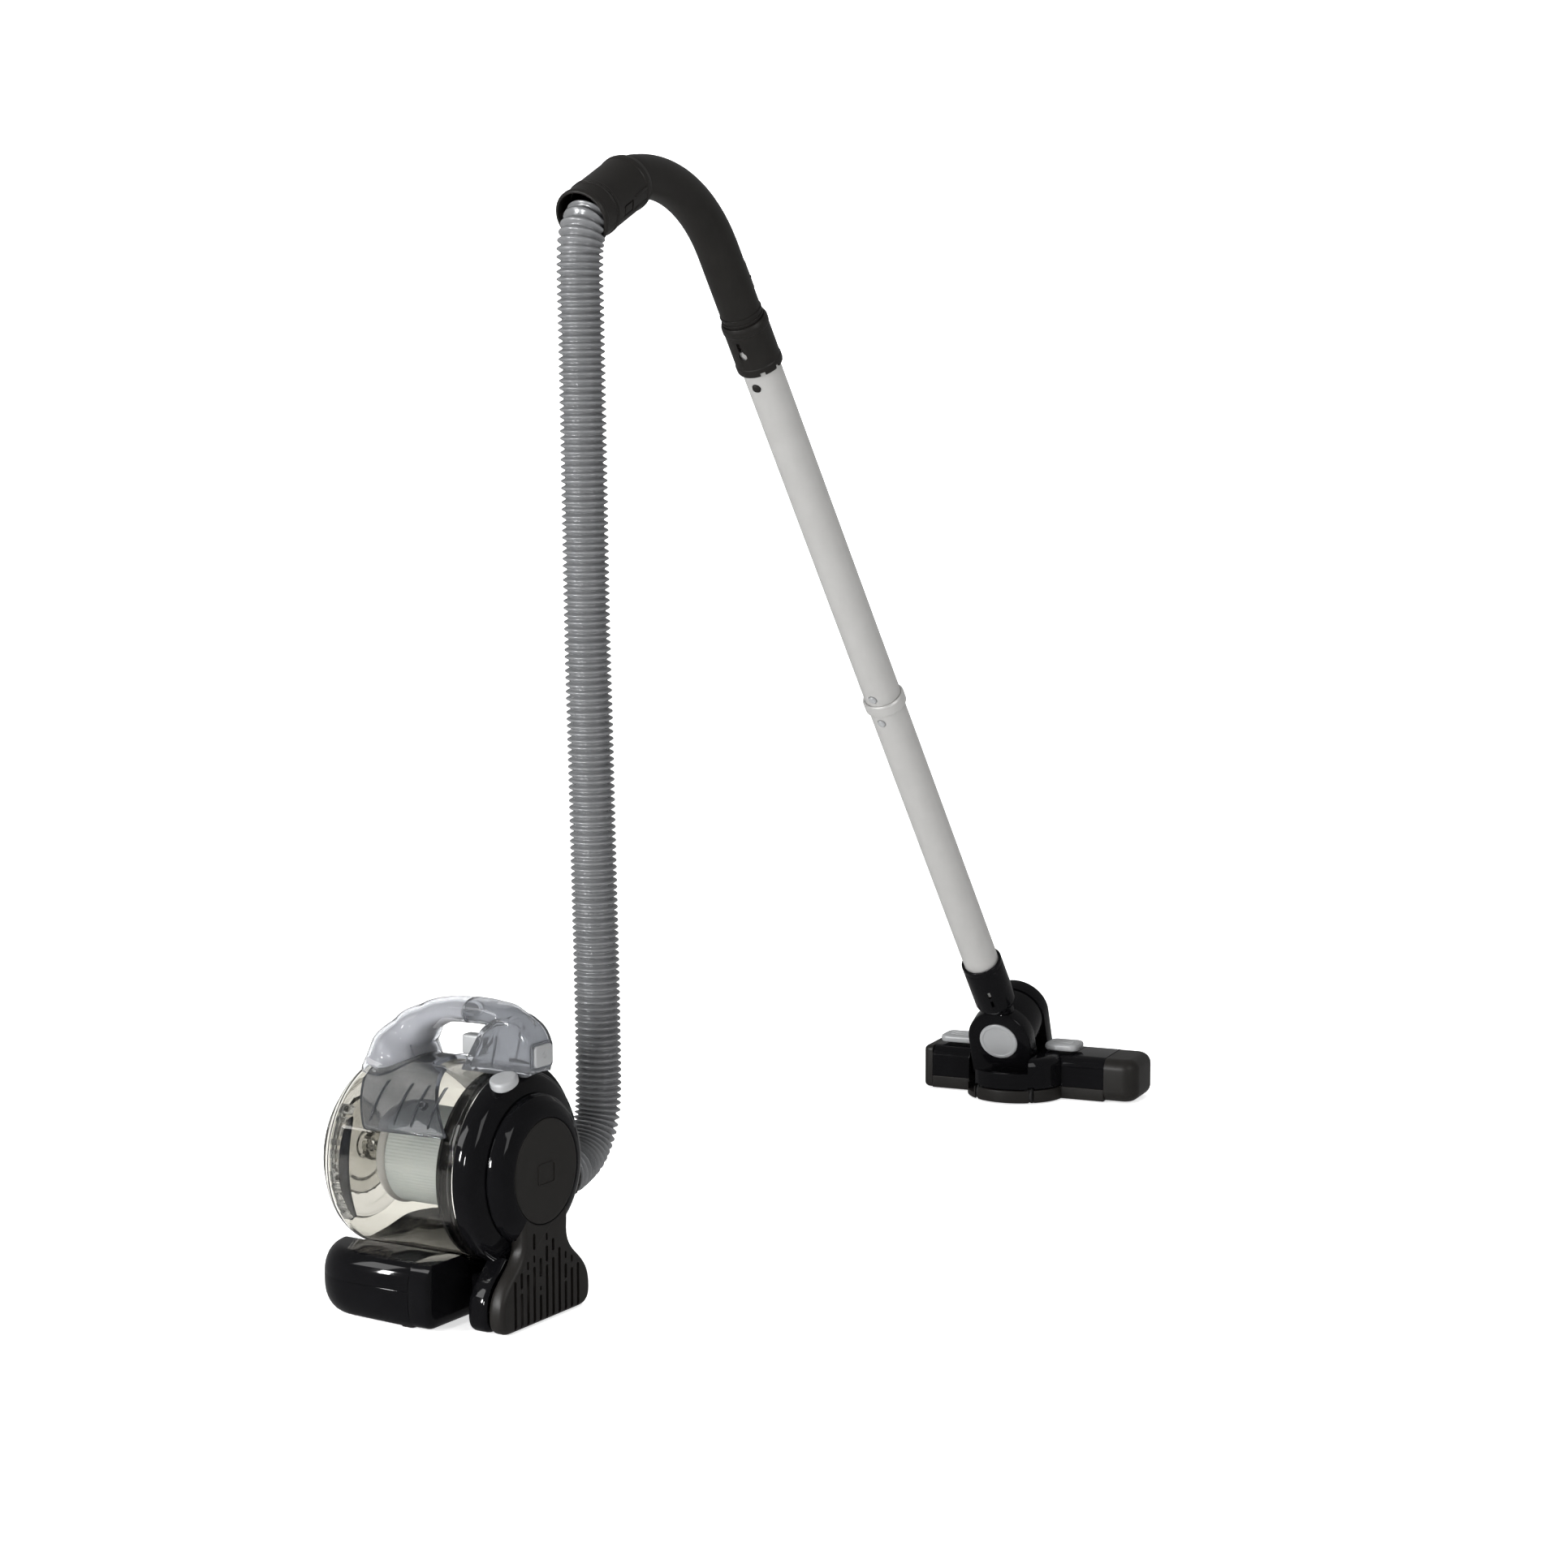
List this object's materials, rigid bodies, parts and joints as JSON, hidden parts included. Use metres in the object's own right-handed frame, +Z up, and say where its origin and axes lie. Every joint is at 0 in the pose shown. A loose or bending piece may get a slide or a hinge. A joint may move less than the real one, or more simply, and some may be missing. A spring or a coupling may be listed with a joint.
{
  "type": "canister vacuum cleaner",
  "caption": "Cordless canister vacuum with a clear dust bowl, a battery base, a corrugated hose, a bent wand and a swivelling floor head.",
  "frame": {"origin": "on the floor under the canister, at the middle of its rest pad", "axes": "+X along the canister axis toward the motor end, +Y from the canister toward the floor head, +Z up"},
  "size_m": [0.2485, 1.0825, 0.9097],
  "materials": {
    "gloss_black": "gloss",
    "matte_black": "fine texture",
    "clear_bowl": "clear gloss",
    "smoke": "smoky clear gloss",
    "silver_plastic": "satin",
    "liner": "satin",
    "filter_white": "fine mesh",
    "rubber": "matte",
    "wand_metal": "satin painted",
    "hose_grey": "satin",
    "steel": "bright",
    "circuit": "matte",
    "cell_wrap": "satin"
  },
  "bodies": {
    "canister": {"motor_housing": "gloss_black", "rear_cover": "matte_black", "rear_disc": "matte_black", "motor_bulkhead": "gloss_black", "bowl_seal": "rubber", "motor": "steel", "base_lower_shell": "gloss_black", "base_upper_shell": "gloss_black", "base_rear_cap": "gloss_black", "charge_socket": "matte_black", "rest_foot_1": "rubber", "rest_foot_2": "rubber", "battery_cell_1": "cell_wrap", "battery_cell_2": "cell_wrap", "battery_cell_3": "cell_wrap", "battery_cell_4": "cell_wrap", "circuit_board": "circuit", "handle_front": "smoke", "handle_liner": "liner", "handle_rear": "smoke", "inlet_duct": "gloss_black", "hose_collar": "matte_black", "hose": "hose_grey", "cuff_ring": "matte_black"},
    "fan": {"fan_impeller": "matte_black", "motor_shaft": "steel"},
    "bowl": {"bowl": "clear_bowl"},
    "door": {"bowl_door": "smoke"},
    "wheel": {"filter_wheel": "smoke", "wheel_spindle": "silver_plastic"},
    "filter": {"filter_frame": "filter_white", "filter_sleeve": "filter_white", "filter_cap": "liner"},
    "power_switch": {"power_button": "silver_plastic"},
    "side_switch": {"side_button": "silver_plastic"},
    "latch": {"bowl_latch": "silver_plastic"},
    "wand": {"swivel_collar": "matte_black", "handle_tube": "matte_black", "wand_socket": "matte_black", "upper_tube": "wand_metal", "lower_tube": "wand_metal", "joint_ring": "wand_metal", "neck": "gloss_black"},
    "slider": {"suction_slider": "matte_black"},
    "wand_catch": {"wand_button": "matte_black"},
    "upper_catch": {"tube_button_upper": "silver_plastic"},
    "lower_catch": {"tube_button_lower": "silver_plastic"},
    "knuckle": {"knuckle_housing": "gloss_black", "knuckle_cap": "silver_plastic"},
    "floor_head": {"sole_plate": "matte_black", "head_shell": "gloss_black", "left_end_cap": "matte_black", "right_end_cap": "matte_black", "pivot_axle": "steel"},
    "roller_left": {"left_wheel": "rubber"},
    "roller_right": {"right_wheel": "rubber"},
    "pedals": {"left_pedal": "silver_plastic", "right_pedal": "silver_plastic"},
    "brushes": {"rear_brush": "rubber", "front_brush": "rubber"}
  },
  "joints": [
    {"name": "fan_spin", "type": "hinge", "parent": "canister", "child": "fan", "pos_m": [0.055, 0, 0.119], "axis": [1, 0, 0], "continuous": true},
    {"name": "bowl_slide", "type": "slide", "parent": "canister", "child": "bowl", "axis": [-1, 0, 0], "range_m": [0, 0.11]},
    {"name": "door_hinge", "type": "hinge", "parent": "bowl", "child": "door", "pos_m": [-0.0852, -0.0615, 0.119], "axis": [0, 0, 1], "range_deg": [0, 100]},
    {"name": "wheel_turn", "type": "hinge", "parent": "door", "child": "wheel", "pos_m": [-0.09, 0, 0.119], "axis": [1, 0, 0], "continuous": true},
    {"name": "filter_twist", "type": "hinge", "parent": "canister", "child": "filter", "pos_m": [0.03, 0, 0.119], "axis": [1, 0, 0], "range_deg": [0, 30]},
    {"name": "power_press", "type": "slide", "parent": "canister", "child": "power_switch", "axis": [-1, 0, 0], "range_m": [0, 0.0015], "stiffness_N_per_m": 300},
    {"name": "side_press", "type": "slide", "parent": "canister", "child": "side_switch", "axis": [1, 0, 0], "range_m": [0, 0.0025], "stiffness_N_per_m": 300},
    {"name": "latch_press", "type": "slide", "parent": "canister", "child": "latch", "axis": [0, 0.342, -0.9397], "range_m": [0, 0.0012], "stiffness_N_per_m": 400},
    {"name": "wand_swivel", "type": "hinge", "parent": "canister", "child": "wand", "pos_m": [0.02, 0.1505, 0.8535], "axis": [0, 0.8988, 0.4384], "range_deg": [-25, 25]},
    {"name": "slider_slide", "type": "slide", "parent": "wand", "child": "slider", "axis": [0, -0.5837, 0.812], "range_m": [0, 0.012]},
    {"name": "wand_catch_press", "type": "slide", "parent": "wand", "child": "wand_catch", "axis": [0, 0.812, 0.5837], "range_m": [0, 0.002], "stiffness_N_per_m": 200},
    {"name": "upper_catch_press", "type": "slide", "parent": "wand", "child": "upper_catch", "axis": [0, 0.812, 0.5837], "range_m": [0, 0.002], "stiffness_N_per_m": 200},
    {"name": "lower_catch_press", "type": "slide", "parent": "wand", "child": "lower_catch", "axis": [0, 0.812, 0.5837], "range_m": [0, 0.002], "stiffness_N_per_m": 200},
    {"name": "head_steer", "type": "hinge", "parent": "wand", "child": "knuckle", "pos_m": [0.016, 0.919, 0.073], "axis": [0.1292, -0.9194, -0.3714], "range_deg": [-30, 30]},
    {"name": "head_pitch", "type": "hinge", "parent": "knuckle", "child": "floor_head", "pos_m": [0.02497, 0.92311, 0.036], "axis": [0.9903, 0.1392, 0], "range_deg": [-20, 20]},
    {"name": "roller_left_spin", "type": "hinge", "parent": "floor_head", "child": "roller_left", "pos_m": [0.00437, 0.88285, 0.008], "axis": [0.9903, 0.1392, 0], "continuous": true},
    {"name": "roller_right_spin", "type": "hinge", "parent": "floor_head", "child": "roller_right", "pos_m": [0.05587, 0.89009, 0.008], "axis": [0.9903, 0.1392, 0], "continuous": true},
    {"name": "pedal_press", "type": "slide", "parent": "floor_head", "child": "pedals", "axis": [0, 0, -1], "range_m": [0, 0.0012]},
    {"name": "brush_lift", "type": "slide", "parent": "floor_head", "child": "brushes", "axis": [0, 0, 1], "range_m": [0, 0.0024]}
  ],
  "couplings": [
    {"joint": "brush_lift", "follows": "pedal_press", "ratio": 2}
  ]
}
